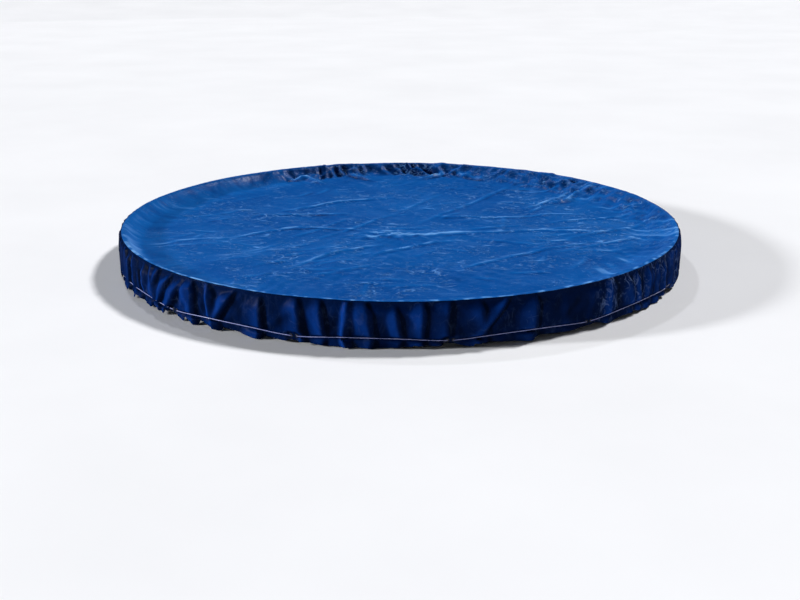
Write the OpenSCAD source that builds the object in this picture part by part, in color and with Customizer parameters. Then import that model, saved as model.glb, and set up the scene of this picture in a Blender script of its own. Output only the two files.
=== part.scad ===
// Tie-down cover for a round steel-wall pool: one round tarpaulin with a hanging skirt,
// drawn in below the rim by a coated cable and a small ratchet winch.
// Origin: centre of the pool's rim, in the plane where the sheet rests on it. +Z is up.
// The winch is at the back, on +Y.

/* [Pool] */
// Outside diameter of the pool's rim
rim_d = 3520; // [3500:5:3540]
// Width of the rail that the sheet rests on
rim_w = 25; // [20:1:40]

/* [Sheet] */
// Thickness that stands in for the thin cloth
sheet_t = 3; // [2:0.5:4]
// Depth of the water below the rim
water_drop = 70; // [50:5:90]
// Width of the band that slopes from the rim down to the water
slope_w = 135; // [100:5:180]
// Height of the skirt, from the rim down to its lower edge
skirt_h = 228; // [220:1:240]
// Height of the doubled band at the skirt's lower edge
hem_h = 56; // [52:1:60]
// How far the skirt stands away from the rim at its lower edge
skirt_flare = 8; // [8:1:12]
// Diameter of the rope in the hem's fold
rope_d = 3; // [2:0.5:3]

/* [Eyelets] */
// Number of places where the cable dips behind the hem
stations = 14; // [12:1:16]
// Distance between the two eyelets of a place
pair_gap = 30; // [26:1:34]
// Bore of an eyelet
eyelet_d = 10; // [10:0.5:11]
// Outside diameter of an eyelet's flange
flange_d = 20; // [17:0.5:22]
// Thickness of an eyelet's flange and of its washer
flange_t = 0.8; // [0.6:0.1:1]

/* [Cable] */
// Outside diameter of the coated cable
cable_d = 4; // [3:0.5:4]
// Height of the cable between the eyelets
cable_z = -186; // [-190:1:-182]
// How far the eyelets pull the cable down
cable_dip = 16; // [8:1:18]
// Angle over which that dip fades out
dip_angle = 6; // [4:0.5:8]

/* [Winch] */
// Length of the channel
frame_l = 90; // [88:1:96]
// Height of the channel
frame_h = 40; // [38:1:42]
// Clear width inside the channel
frame_w = 15; // [15:0.5:16]
// Thickness of the channel's steel
frame_t = 2; // [1.5:0.5:2]
// Distance from the channel's middle to the drum's axis
drum_x = 26; // [25:1:27]
// Distance from the channel's middle to the anchor bolt's axis
anchor_x = 28; // [27:1:29]
// Diameter of the drum's barrel
barrel_d = 14; // [13:0.5:14]
// Number of teeth on the ratchet wheel
teeth = 12; // [12:4:12]
// Diameter over the teeth
wheel_d = 34; // [32:1:34]
// Depth of a tooth
tooth_h = 3; // [2.5:0.5:3]
// Length of the sliding tee bar
bar_l = 84; // [76:2:90]
// Diameter of the tee bar
bar_d = 6; // [5:0.5:6]

/* [Hidden] */
$fn = 96;

sheet_blue = "#1a4f96";
skirt_blue = "#0b2a5e";
zinc = "#b9bdc2";
dark_steel = "#4a4d52";

// sheet
rim_r = rim_d / 2;
seat_r = rim_r - rim_w;            // inner edge of the flat seat
lip_r = rim_r + 2;                 // inside of the downturned edge
lip_h = 8;
water_r = seat_r - slope_w;        // edge of the flat part on the water
skirt_r = rim_r + skirt_flare;     // inside of the skirt's lower part
flare_z = -90;                     // where the skirt becomes cylindrical
hem_z = -(skirt_h - hem_h);
hem_t = sheet_t + 1;
hem_r = skirt_r + hem_t;           // outside of the hem

// eyelets and cable
eyelet_z = cable_z - cable_dip;
barrel_t = 0.5;                    // wall of an eyelet's barrel
washer_gap = 0.05;                 // keeps a flat washer clear of the curved hem
cable_r = cable_d / 2;
play = 0.2;                        // gap that keeps touching curves apart
run_out = hem_r + flange_t + cable_r + play;      // radius of the cable outside the hem
run_in = skirt_r - flange_t - cable_r - play;     // radius of the cable behind the hem
station_step = 360 / stations;
station_0 = 180 + station_step / 2;               // first eyelets past the winch

// winch, laid out in Y from the skirt outwards
plate_in = hem_r + 6;
plate_out = plate_in + frame_t + frame_w;
bush_flange = 0.8;
mid_y = plate_in + frame_t + frame_w / 2;
frame_z = cable_z - 26;            // underside of the channel
wind_r = barrel_d / 2 + cable_r + 2 * play;       // radius of the cable on the drum
drum_z = cable_z - wind_r;
wind_pitch = cable_d + play;
lane_0 = mid_y - wind_pitch;
journal_r = 5;
running = 0.05;                    // radial clearance of a turning fit
bush_r = 6.5;
gear_y = plate_out + frame_t + 0.4;
gear_t = 3;
head_y = gear_y + gear_t + 0.8;
head_r = 8;
bar_y = head_y + 12;
head_l = 17;
root_r = wheel_d / 2 - tooth_h;
clip_y = plate_in - 1.6;            // groove for the shaft's spring clip
clip_t = 1.2;
cap_l = 9;
cap_r = 5;

// pawl, in axes that run along it (u) and out from the drum's axis (v)
pawl_turn = 140;
pivot_u = 28;
pivot_v = 17.5;
pivot = [
    drum_x + pivot_u * cos(pawl_turn) - pivot_v * sin(pawl_turn),
    drum_z + pivot_u * sin(pawl_turn) + pivot_v * cos(pawl_turn)
];
rivet_r = 3;

// anchor loop
bolt_r = 4;
sleeve_r = 6;
thimble_r = 7;
loop_r = thimble_r + cable_r + play / 2;
leg_gap = cable_r + play / 2;      // half the distance between the loop's two legs
ferrule_x = [-68, -52];

// point at radius r and azimuth a, where 0 is the front (-Y) and 90 is +X
function polar(r, a, z) = [r * sin(a), -r * cos(a), z];
// angle from azimuth a to the nearest eyelets
function off_station(a) =
    let (n = (a - station_0) / station_step) abs(n - round(n)) * station_step;
function dipped(a) = cable_z - cable_dip * exp(-pow(off_station(a) / dip_angle, 2));
// azimuth at which a straight run from (x, y) meets the cable's circle
function tangent_azimuth(x, y) =
    180 - atan(x / y) - acos(run_out / norm([x, y]));

// the cable's route through one pair of eyelets: distance along the hem, and out from its middle
wall_mid = (run_out + run_in) / 2;
wall_half = (run_out - run_in) / 2;
half_crossing = [[4.2, 1], [2.5, 0.88], [1.3, 0.55], [-1.3, -0.55], [-2.5, -0.88], [-4.2, -1]];
crossing = concat(
    [for (p = half_crossing) [-pair_gap / 2 - p[0], p[1]]],
    [for (i = [len(half_crossing) - 1:-1:0])
        [pair_gap / 2 + half_crossing[i][0], half_crossing[i][1]]]
);
clear_angle = 1.2;                 // half the angle that a pair of eyelets takes
arc_steps = 8;                     // straight runs of the cable between two places
end_steps = 3;                     // and from the last place to the winch

loop_route = concat(
    [[ferrule_x[0] - 2, -leg_gap], [ferrule_x[1], -leg_gap], [-46, -4.6], [-38, -8.2]],
    [for (a = [250:20:470]) [-anchor_x + loop_r * cos(a), loop_r * sin(a)]],
    [[-38, 8.2], [-46, 4.6], [ferrule_x[1], leg_gap], [ferrule_x[0] - 4, leg_gap]]
);
first_az = 360 - tangent_azimuth(-ferrule_x[0] + 4, mid_y);
last_az = 360 + tangent_azimuth(frame_l / 2 + 3, lane_0);

function span(a0, a1, steps) =
    [for (i = [1:steps - 1]) let (a = a0 + (a1 - a0) * i / steps) polar(run_out, a, dipped(a))];
function station_points(a) =
    [for (p = crossing) polar(wall_mid + wall_half * p[1], a + p[0] / wall_mid * 180 / PI, eyelet_z)];
wind_turns = 2;
wind_step = 20;
wind_route = [
    for (i = [0:wind_turns * 360 / wind_step])
        [
            drum_x + wind_r * cos(90 + i * wind_step),
            lane_0 + wind_pitch * i * wind_step / 360,
            drum_z + wind_r * sin(90 + i * wind_step)
        ]
];
tail_end = [drum_x - 16, lane_0 + wind_pitch * wind_turns, cable_z];
cable_route = concat(
    [for (p = loop_route) [p[0], mid_y, cable_z + p[1]]],
    [polar(run_out, first_az, dipped(first_az))],
    [for (k = [0:stations - 1]) let (a = station_0 + k * station_step)
        each concat(
            station_points(a),
            k < stations - 1
                ? span(a + clear_angle, a + station_step - clear_angle, arc_steps)
                : span(a + clear_angle, last_az, end_steps)
        )],
    [polar(run_out, last_az, dipped(last_az))],
    [[frame_l / 2 + 3, lane_0, cable_z]],
    wind_route,
    [tail_end]
);

function unit(v) = v / norm(v);
// direction of the route at point i, the mean of the two runs that meet there
function heading(route, i) =
    unit(
        (i > 0 ? unit(route[i] - route[i - 1]) : [0, 0, 0])
        + (i < len(route) - 1 ? unit(route[i + 1] - route[i]) : [0, 0, 0])
    );
function square_to(n, t) = unit(n - (n * t) * t);

// round tube along a route, with one ring of points at each route point
module tube(route, r, sides) {
    headings = [for (i = [0:len(route) - 1]) heading(route, i)];
    normals = [
        for (i = 0, n = square_to([0, 1, 0], headings[0]);
            i < len(route);
            i = i + 1, n = i < len(route) ? square_to(n, headings[i]) : n) n
    ];
    points = [
        for (i = [0:len(route) - 1], k = [0:sides - 1])
            route[i] + r * (
                cos(k * 360 / sides) * normals[i]
                + sin(k * 360 / sides) * cross(headings[i], normals[i])
            )
    ];
    last = (len(route) - 1) * sides;
    walls = [
        for (i = [0:len(route) - 2], k = [0:sides - 1])
            let (a = i * sides + k, b = i * sides + (k + 1) % sides)
            [a, a + sides, b + sides, b]
    ];
    ends = [[for (k = [0:sides - 1]) k], [for (k = [sides - 1:-1:0]) last + k]];
    polyhedron(points, concat(walls, ends), convexity = 10);
}

// rod along +Y
module rod_y(x, z, y0, y1, r) {
    translate([x, y0, z]) rotate([-90, 0, 0]) cylinder(h = y1 - y0, r = r);
}

// flat piece drawn in X and Z, and thick from y0 to y1
module plate_xz(y0, y1) {
    translate([0, y1, 0]) rotate([90, 0, 0]) linear_extrude(y1 - y0) children();
}

module ring(r0, r1, z0, z1) {
    rotate_extrude($fn = 360) translate([r0, z0]) square([r1 - r0, z1 - z0]);
}

// a copy of the child at each eyelet, with +X pointing out of the hem
module at_eyelets() {
    for (k = [0:stations - 1], side = [-1, 1])
        rotate([0, 0, station_0 + k * station_step + side * pair_gap / 2 / hem_r * 180 / PI - 90])
            translate([0, 0, eyelet_z]) rotate([0, 90, 0]) children();
}

module sheet_centre() {
    color(sheet_blue) translate([0, 0, -water_drop - sheet_t]) cylinder(h = sheet_t, r = water_r, $fn = 360);
}

module sheet_slope() {
    color(sheet_blue)
        rotate_extrude($fn = 360)
            polygon([
                [water_r, -water_drop - sheet_t],
                [seat_r, 0],
                [seat_r, sheet_t],
                [water_r, -water_drop]
            ]);
}

module sheet_rim() {
    color(sheet_blue)
        rotate_extrude($fn = 360)
            polygon([
                [seat_r, 0],
                [lip_r, 0],
                [lip_r, -lip_h],
                [lip_r + sheet_t, -lip_h],
                [lip_r + sheet_t, sheet_t],
                [seat_r, sheet_t]
            ]);
}

module sheet_skirt() {
    color(skirt_blue)
        rotate_extrude($fn = 360)
            polygon([
                [lip_r, -lip_h],
                [skirt_r, flare_z],
                [skirt_r, hem_z],
                [skirt_r + sheet_t, hem_z],
                [skirt_r + sheet_t, flare_z],
                [lip_r + sheet_t, -lip_h]
            ]);
}

// the doubled edge, with a channel for its rope and a hole for each eyelet
module hem_band() {
    color(skirt_blue)
        difference() {
            ring(skirt_r, hem_r, -skirt_h, hem_z);
            rope_channel();
            at_eyelets() translate([0, 0, skirt_r - 5]) cylinder(h = 15, r = eyelet_d / 2 + barrel_t);
        }
}

module rope_channel() {
    rotate_extrude($fn = 360)
        translate([(skirt_r + hem_r) / 2, -skirt_h + rope_d / 2 + 0.5])
            circle(d = rope_d);
}

module hem_rope() {
    color("white") rope_channel();
}

// pressed eyelets: flange outside the hem, barrel through it
module eyelets() {
    color("silver")
        at_eyelets()
            difference() {
                union() {
                    translate([0, 0, hem_r]) cylinder(h = flange_t, d = flange_d);
                    translate([0, 0, skirt_r - flange_t])
                        cylinder(h = hem_t + flange_t, r = eyelet_d / 2 + barrel_t);
                }
                translate([0, 0, skirt_r - 10]) cylinder(h = 30, d = eyelet_d);
            }
}

module eyelet_washers() {
    color("silver")
        at_eyelets()
            translate([0, 0, skirt_r - flange_t - washer_gap])
                difference() {
                    cylinder(h = flange_t, d = flange_d);
                    translate([0, 0, -1]) cylinder(h = 4, r = eyelet_d / 2 + barrel_t);
                }
}

module tie_cable() {
    color("lavender") tube(cable_route, cable_r, 8);
}

// grooved eye that the cable bends round at the anchor bolt
module loop_thimble() {
    groove = [
        [sleeve_r + running, -3.4],
        [thimble_r + 1.6, -3.4],
        [thimble_r, -1.6],
        [thimble_r, 1.6],
        [thimble_r + 1.6, 3.4],
        [sleeve_r + running, 3.4]
    ];
    color(zinc)
        translate([-anchor_x, mid_y, cable_z])
            rotate([90, 0, 0])
                rotate_extrude()
                    polygon(groove);
}

// pressed sleeve that closes the loop round both legs
module loop_ferrule() {
    color("silver")
        translate([ferrule_x[0], mid_y, cable_z])
            rotate([90, 0, 90])
                linear_extrude(ferrule_x[1] - ferrule_x[0])
                    difference() {
                        oval(cable_r + 1.7, leg_gap);
                        oval(cable_r + 0.1, leg_gap);
                    }
}

module oval(r, half) {
    translate([0, half]) circle(r);
    translate([0, -half]) circle(r);
    translate([-r, -half]) square([2 * r, 2 * half]);
}

module cable_end_cap() {
    color(dark_steel)
        translate(tail_end)
            rotate([0, 90, 0])
                difference() {
                    translate([0, 0, -1.5]) cylinder(h = 10, r = cable_r + 0.8);
                    cylinder(h = 10, r = cable_r);
                }
}

// side plate with rounded upper corners
module side_shape() {
    corner = 8;
    translate([-frame_l / 2, frame_z]) square([frame_l, frame_h - corner]);
    translate([-frame_l / 2 + corner, frame_z]) square([frame_l - 2 * corner, frame_h]);
    for (side = [-1, 1])
        translate([side * (frame_l / 2 - corner), frame_z + frame_h - corner]) circle(corner);
}

module winch_frame() {
    color(zinc)
        difference() {
            union() {
                plate_xz(plate_in, plate_in + frame_t) side_shape();
                plate_xz(plate_out, plate_out + frame_t) side_shape();
                translate([-frame_l / 2, plate_in, frame_z])
                    cube([frame_l, frame_w + 2 * frame_t, frame_t]);
            }
            rod_y(drum_x, drum_z, plate_in - 1, plate_out + 10, bush_r);
            rod_y(-anchor_x, cable_z, plate_in - 1, plate_out + 10, bolt_r);
            rod_y(pivot[0], pivot[1], plate_out - 1, plate_out + 10, rivet_r);
        }
}

module hexagon(across) {
    circle(d = across / cos(30), $fn = 6);
}

module anchor_bolt() {
    color(dark_steel) {
        rod_y(-anchor_x, cable_z, plate_in - 4.5, plate_out + frame_t, bolt_r);
        plate_xz(plate_out + frame_t, plate_out + frame_t + 5)
            translate([-anchor_x, cable_z]) hexagon(13);
    }
}

module anchor_nut() {
    color(dark_steel)
        plate_xz(plate_in - 4, plate_in)
            translate([-anchor_x, cable_z])
                difference() {
                    hexagon(13);
                    circle(bolt_r);
                }
}

// keeps the side plates apart and carries the loop
module anchor_sleeve() {
    color(zinc)
        difference() {
            rod_y(-anchor_x, cable_z, plate_in + frame_t, plate_out, sleeve_r);
            rod_y(-anchor_x, cable_z, plate_in, plate_out + 1, bolt_r);
        }
}

module drum() {
    color(dark_steel)
        difference() {
            union() {
                rod_y(drum_x, drum_z, plate_in - 2.5, head_y + 7, journal_r);
                rod_y(drum_x, drum_z, plate_in + frame_t + 1, plate_out - 1, barrel_d / 2);
            }
            clip_groove();
            pin_hole();
        }
}

module clip_groove() {
    difference() {
        rod_y(drum_x, drum_z, clip_y, clip_y + clip_t, journal_r + 1);
        rod_y(drum_x, drum_z, clip_y - 1, clip_y + clip_t + 1, journal_r - 0.8);
    }
}

module pin_hole() {
    translate([drum_x, head_y + 3.5, drum_z - 20]) cylinder(h = 40, r = 1.5);
}

// flanged bushes pressed into the side plates
module shaft_bushes() {
    color("ivory")
        difference() {
            union() {
                rod_y(drum_x, drum_z, plate_in, plate_in + frame_t + bush_flange, bush_r);
                rod_y(drum_x, drum_z, plate_out - bush_flange, plate_out + frame_t, bush_r);
                rod_y(drum_x, drum_z, plate_in + frame_t, plate_in + frame_t + bush_flange, barrel_d / 2);
                rod_y(drum_x, drum_z, plate_out - bush_flange, plate_out, barrel_d / 2);
            }
            rod_y(drum_x, drum_z, plate_in - 1, plate_out + 10, journal_r + running);
        }
}

// spring ring in the shaft's groove, open at the bottom
module shaft_clip() {
    color(zinc)
        difference() {
            rod_y(drum_x, drum_z, clip_y, clip_y + clip_t, journal_r + 2.2);
            rod_y(drum_x, drum_z, clip_y - 1, clip_y + clip_t + 1, journal_r - 0.8);
            translate([drum_x - 2.5, clip_y - 1, drum_z - 12]) cube([5, clip_t + 2, 12]);
        }
}

// saw-toothed wheel, its radial faces against the pawl
module ratchet_wheel() {
    step = 360 / teeth;
    color(zinc)
        plate_xz(gear_y, gear_y + gear_t)
            translate([drum_x, drum_z])
                difference() {
                    polygon([
                        for (i = [0:teeth - 1], r = [root_r, wheel_d / 2])
                            let (a = pawl_turn + 90 + i * step)
                            [r * cos(a), r * sin(a)]
                    ]);
                    circle(journal_r);
                }
}

module pawl() {
    color(dark_steel)
        plate_xz(gear_y, gear_y + gear_t)
            translate([drum_x, drum_z])
                rotate(pawl_turn)
                    difference() {
                        union() {
                            polygon([
                                [0.3, root_r + 0.5],
                                [9, root_r + 1.5],
                                [20, root_r + 0.5],
                                [pivot_u, pivot_v - 5],
                                [36, 19],
                                [35.5, 23],
                                [pivot_u, pivot_v + 5],
                                [10, root_r + 6.5],
                                [0.3, root_r + 4]
                            ]);
                            translate([pivot_u, pivot_v]) circle(5);
                        }
                        translate([pivot_u, pivot_v]) circle(rivet_r + running);
                    }
}

// shouldered rivet, headed outside the pawl's spring
module pawl_pin() {
    color(zinc) {
        rod_y(pivot[0], pivot[1], plate_out, gear_y + gear_t + 4, rivet_r);
        rod_y(pivot[0], pivot[1], gear_y + gear_t + 4, gear_y + gear_t + 5, rivet_r + 2);
    }
}

// torsion spring round the rivet: three turns, one leg on the pawl and one towards the plate's end
module pawl_spring() {
    wire_r = 0.4;
    coil_r = rivet_r + 0.9;
    turns = 3;
    first_y = gear_y + gear_t + 0.6;
    coil = [
        for (i = [0:turns * 12])
            [coil_r * cos(i * 30), first_y + 0.9 * i / 12, coil_r * sin(i * 30)]
    ];
    color("silver")
        translate([pivot[0], 0, pivot[1]])
            tube(concat([[coil_r, first_y, -10]], coil, [[coil_r, first_y + 0.9 * turns, 7]]), wire_r, 8);
}

// boss on the shaft's outer end, cross-drilled for the tee bar
module drive_head() {
    color(dark_steel)
        difference() {
            rod_y(drum_x, drum_z, head_y, head_y + head_l, head_r);
            rod_y(drum_x, drum_z, head_y - 1, head_y + 7, journal_r);
            translate([drum_x - 20, bar_y, drum_z]) rotate([0, 90, 0])
                cylinder(h = 40, r = bar_d / 2 + running);
            pin_hole();
        }
}

module head_pin() {
    color("silver")
        translate([drum_x, head_y + 3.5, drum_z - head_r + 0.5]) cylinder(h = 2 * head_r - 1, r = 1.5);
}

module tee_bar() {
    color(zinc)
        translate([drum_x - bar_l / 2, bar_y, drum_z]) rotate([0, 90, 0]) cylinder(h = bar_l, d = bar_d);
}

module bar_caps() {
    color("black")
        for (side = [-1, 1])
            translate([drum_x + side * (bar_l / 2 - cap_l / 2 + 1), bar_y, drum_z])
                rotate([0, side * 90, 0])
                    difference() {
                        translate([0, 0, -cap_l / 2]) cylinder(h = cap_l, r = cap_r);
                        translate([0, 0, -cap_l / 2 - 1]) cylinder(h = cap_l, d = bar_d);
                    }
}

sheet_centre();
sheet_slope();
sheet_rim();
sheet_skirt();
hem_band();
hem_rope();
eyelets();
eyelet_washers();
tie_cable();
loop_thimble();
loop_ferrule();
cable_end_cap();
winch_frame();
anchor_bolt();
anchor_sleeve();
anchor_nut();
drum();
shaft_bushes();
shaft_clip();
ratchet_wheel();
pawl();
pawl_pin();
pawl_spring();
drive_head();
head_pin();
tee_bar();
bar_caps();
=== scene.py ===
import math

import bpy
import numpy as np
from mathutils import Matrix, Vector


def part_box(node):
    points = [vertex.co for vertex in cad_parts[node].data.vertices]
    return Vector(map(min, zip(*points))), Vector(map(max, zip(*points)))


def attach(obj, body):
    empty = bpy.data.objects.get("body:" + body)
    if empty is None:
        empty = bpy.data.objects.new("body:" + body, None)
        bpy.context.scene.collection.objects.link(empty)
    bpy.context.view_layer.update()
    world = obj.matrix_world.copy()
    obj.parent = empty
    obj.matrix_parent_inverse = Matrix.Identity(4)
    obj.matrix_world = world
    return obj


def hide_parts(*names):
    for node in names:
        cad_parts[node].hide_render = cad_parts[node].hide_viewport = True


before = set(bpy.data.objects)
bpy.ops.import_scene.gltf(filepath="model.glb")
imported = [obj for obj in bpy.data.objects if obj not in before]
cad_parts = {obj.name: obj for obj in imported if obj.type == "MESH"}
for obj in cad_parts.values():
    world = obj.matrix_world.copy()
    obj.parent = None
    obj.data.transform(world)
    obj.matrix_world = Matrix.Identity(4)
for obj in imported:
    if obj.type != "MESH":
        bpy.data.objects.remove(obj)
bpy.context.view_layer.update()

# places taken from the frame, in metres; the cover's middle is at the origin
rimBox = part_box("sheet_rim")
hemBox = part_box("hem_band")
rimR = rimBox[1].x
rimZ = rimBox[1].z - 0.0005
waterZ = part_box("sheet_centre")[1].z
hemR = (hemBox[1].x - hemBox[0].x) / 2
hemTopZ = hemBox[1].z
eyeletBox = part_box("eyelets")
eyeletZ = (eyeletBox[0].z + eyeletBox[1].z) / 2
seatInnerR = 1.735  # inner edge of the rail that the sheet lies on

# the front is seen from a little to one side of the winch's opposite
viewTurn = math.radians(4.7)


def hexRgb(code):
    parts = [int(code[i : i + 2], 16) / 255 for i in (1, 3, 5)]
    return [c / 12.92 if c <= 0.04045 else ((c + 0.055) / 1.055) ** 2.4 for c in parts] + [1.0]


def hashed(ix, iy, seed):
    n = (ix.astype(np.int64) * 374761393 + iy.astype(np.int64) * 668265263 + seed * 1442695041) & 0xFFFFFFFF
    n = ((n ^ (n >> 13)) * 1274126177) & 0xFFFFFFFF
    return ((n ^ (n >> 16)) & 0xFFFF) / 65535.0


def softNoise(x, y, size, seed, cells=0):  # -1 to 1 in bumps of that size; cells closes it up in x
    x, y = x / size, y / size
    ix, iy = np.floor(x), np.floor(y)
    fx, fy = x - ix, y - iy
    fx, fy = fx * fx * (3 - 2 * fx), fy * fy * (3 - 2 * fy)
    left, right = (ix % cells, (ix + 1) % cells) if cells else (ix, ix + 1)
    a = hashed(left, iy, seed) * (1 - fx) + hashed(right, iy, seed) * fx
    b = hashed(left, iy + 1, seed) * (1 - fx) + hashed(right, iy + 1, seed) * fx
    return (a * (1 - fy) + b * fy) * 2 - 1


def roundNoise(angle, y, size, seed):  # softNoise round the cover, with y in metres
    cells = max(3, round(2 * math.pi * rimR / size))
    fitted = 2 * math.pi * rimR / cells
    return softNoise(rimR * angle % (2 * math.pi * rimR), y * fitted / size, fitted, seed, cells)


def facets(x, y, seed, sizes, warp):  # straight creases with flat film between them
    draw = np.random.RandomState(seed)
    out = np.zeros_like(x)
    wx = x + warp * softNoise(x, y, 0.45, seed + 1) + warp * 0.4 * softNoise(x, y, 0.16, seed + 3)
    wy = y + warp * softNoise(x, y, 0.45, seed + 2) + warp * 0.4 * softNoise(x, y, 0.16, seed + 4)
    for k, size in enumerate(sizes):
        turn = draw.uniform(0, math.pi)
        along = (wx * math.cos(turn) + wy * math.sin(turn)) / size + draw.uniform(0, 1)
        fold = 1 - 4 * np.abs(along - np.floor(along) - 0.5)
        mask = np.clip(0.4 + 1.1 * softNoise(x, y, size * 2.2, seed + 10 + k), 0, 1)
        out += fold * mask * size
    return out


def smooth(t):
    t = np.clip(t, 0, 1)
    return t * t * (3 - 2 * t)


# sizes of the creased patches, from one kind of crumple to the next
creaseSizes = {
    "slope": [0.09, 0.13, 0.16, 0.21, 0.11, 0.07, 0.06, 0.25],
    "water": [0.31, 0.42, 0.26, 0.55, 0.19, 0.36, 0.23, 0.48],
    "patches": [0.065, 0.09, 0.12, 0.075, 0.1, 0.055],
    "middle": [0.05, 0.075, 0.06, 0.09],
    "skirt": [0.045, 0.07, 0.1, 0.06],
}

topSheet = {
    "rings": 118,
    "edge": rimR - 0.006,  # where the fold over the rail begins
    "thickness": 0.0008,
    "slopeFront": 0.10,  # width of the band down to the water, in front and what the sides add
    "slopeRight": 0.13,
    "slopeBack": 0.05,
    "foldTop": 0.009,  # folds are flattened off above this height, within the room that follows
    "foldRoom": 0.006,
}

# pulls across the water, seen from the front, in metres: from, through, to, then the height and how
# far out the fold fades
pulls = [
    ((-0.03, -0.28), (0.22, -0.21), (0.48, -0.15), 0.013, 0.045),
    ((0.44, -0.16), (0.8, -0.15), (1.15, -0.02), 0.010, 0.014),
    ((-0.18, -0.7), (0.02, -0.48), (0.34, -0.36), 0.013, 0.014),
    ((-0.74, 0.42), (-0.5, 0.72), (-0.05, 0.82), 0.013, 0.014),
    ((-0.62, -0.95), (-0.4, -0.55), (-0.1, -0.45), 0.011, 0.012),
    ((-1.15, -0.35), (-0.8, -0.1), (-0.55, 0.02), 0.010, 0.012),
    ((-1.0, 0.25), (-0.65, 0.36), (-0.3, 0.3), 0.010, 0.014),
    ((-0.8, -0.1), (-0.55, -0.02), (-0.3, -0.08), 0.009, 0.012),
    ((0.25, 0.25), (0.6, 0.17), (1.0, 0.3), 0.012, 0.014),
    ((0.3, -1.0), (0.75, -0.6), (1.25, -0.35), 0.009, 0.012),
    ((0.9, -0.1), (1.05, -0.13), (1.28, -0.16), 0.014, 0.014),
    ((0.85, 0.45), (1.1, 0.75), (1.25, 0.95), 0.010, 0.014),
    ((1.05, 0.66), (1.18, 0.62), (1.22, 0.78), 0.030, 0.020),
    ((1.21, 0.76), (1.28, 0.92), (1.43, 0.95), 0.030, 0.018),
    ((1.0, 0.1), (1.3, 0.2), (1.6, 0.28), 0.012, 0.012),
    ((1.05, -0.3), (1.3, -0.15), (1.6, 0.02), 0.010, 0.012),
    ((0.95, -0.62), (1.2, -0.45), (1.5, -0.3), 0.009, 0.012),
    ((0.1, 0.05), (0.5, 0.6), (0.85, 1.25), 0.006, 0.012),
    ((-0.55, -0.35), (-0.1, 0.15), (0.3, 0.95), 0.006, 0.012),
    ((-0.22, -0.15), (-0.1, -0.2), (0.02, -0.31), 0.008, 0.018),
    ((-0.3, -0.28), (-0.12, -0.3), (0.06, -0.2), 0.007, 0.018),
    ((-0.34, -0.2), (-0.2, -0.23), (-0.12, -0.35), 0.007, 0.016),
    ((-0.14, -0.1), (-0.05, -0.16), (0.1, -0.12), 0.007, 0.016),
    ((-0.95, 1.46), (-0.84, 1.36), (-0.72, 1.46), 0.030, 0.022),
    ((-0.78, 1.5), (-0.66, 1.38), (-0.6, 1.3), 0.026, 0.020),
    ((-0.4, 1.62), (-0.33, 1.5), (-0.2, 1.4), 0.026, 0.020),
    ((0.16, 1.47), (0.3, 1.52), (0.38, 1.66), 0.030, 0.022),
    ((0.44, 1.63), (0.5, 1.5), (0.66, 1.42), 0.024, 0.020),
]


shortPulls = {
    "count": 66,
    "seed": 57,
    "within": 1.5,  # radius of the stretch they lie on
    "half": (0.05, 0.22),  # half the length
    "tall": (0.002, 0.006),
    "fade": 0.012,
}


def drawPulls():  # many shorter ones, most of them running from the front left to the back right
    draw = np.random.RandomState(shortPulls["seed"])
    made = []
    for _ in range(shortPulls["count"]):
        far, turn = shortPulls["within"] * math.sqrt(draw.uniform()), draw.uniform(-math.pi, math.pi)
        x, y = far * math.sin(turn), -far * math.cos(turn)
        heading = math.radians(draw.normal(38, 24) if draw.uniform() < 0.7 else draw.normal(0, 14))
        half = draw.uniform(*shortPulls["half"])
        bow = draw.uniform(-0.3, 0.3) * half
        dx, dy = half * math.cos(heading), half * math.sin(heading)
        tall = draw.uniform(*shortPulls["tall"])
        through = (x - bow * math.sin(heading), y + bow * math.cos(heading))
        made.append(((x - dx, y - dy), through, (x + dx, y + dy), tall, shortPulls["fade"]))
    return made


def pullShape(x, y):  # height of the pulls, and their strips of painted light: a painted highlight on each crest, painted shade beside it
    c, s = math.cos(viewTurn), math.sin(viewTurn)
    height, paintedStrip = np.zeros_like(x), np.zeros_like(x)
    steps = 14
    for start, mid, end, tall, width in pulls + drawPulls():
        line = []
        for i in range(steps + 1):
            t = i / steps
            p = [(1 - t) ** 2 * a + 2 * t * (1 - t) * b + t * t * d for a, b, d in zip(start, mid, end)]
            line.append((p[0] * c - p[1] * s, p[0] * s + p[1] * c))
        nearest, where, side = np.full_like(x, 9.0), np.zeros_like(x), np.ones_like(x)
        for i in range(steps):
            dx, dy = line[i + 1][0] - line[i][0], line[i + 1][1] - line[i][1]
            ax, ay = x - line[i][0], y - line[i][1]
            along = np.clip((ax * dx + ay * dy) / (dx * dx + dy * dy), 0, 1)
            d = np.hypot(ax - along * dx, ay - along * dy)
            closer = d < nearest
            where = np.where(closer, (i + along) / steps, where)
            side = np.where(closer, np.sign(ay * dx - ax * dy), side)
            nearest = np.minimum(nearest, d)
        ends = np.sin(math.pi * np.clip(where, 0.02, 0.98)) ** 0.5
        height += tall * ends * np.exp(-nearest / width)
        off = nearest * side * (1 if end[0] >= start[0] else -1)
        spread = 0.012 + 0.3 * width
        light = np.exp(-(((off + 0.001) / spread) ** 2))
        light = light - 0.45 * np.exp(-(((off + 2 * spread) / 0.011) ** 2))
        paintedStrip += min(1.1, 0.25 + tall / 0.016) * ends * light
    # noise that breaks up the painted strips
    patchy = np.clip(0.8 + 0.7 * softNoise(x, y, 0.07, 58), 0.3, 1.2)
    return height, np.clip(paintedStrip * patchy, -1, 1)


def crumpledSide(v):  # the far and right sides are crumpled, the front and the left drawn smooth
    return smooth(0.5 + 2.0 * (np.cos(v - 2.36) - 0.26))


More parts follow.
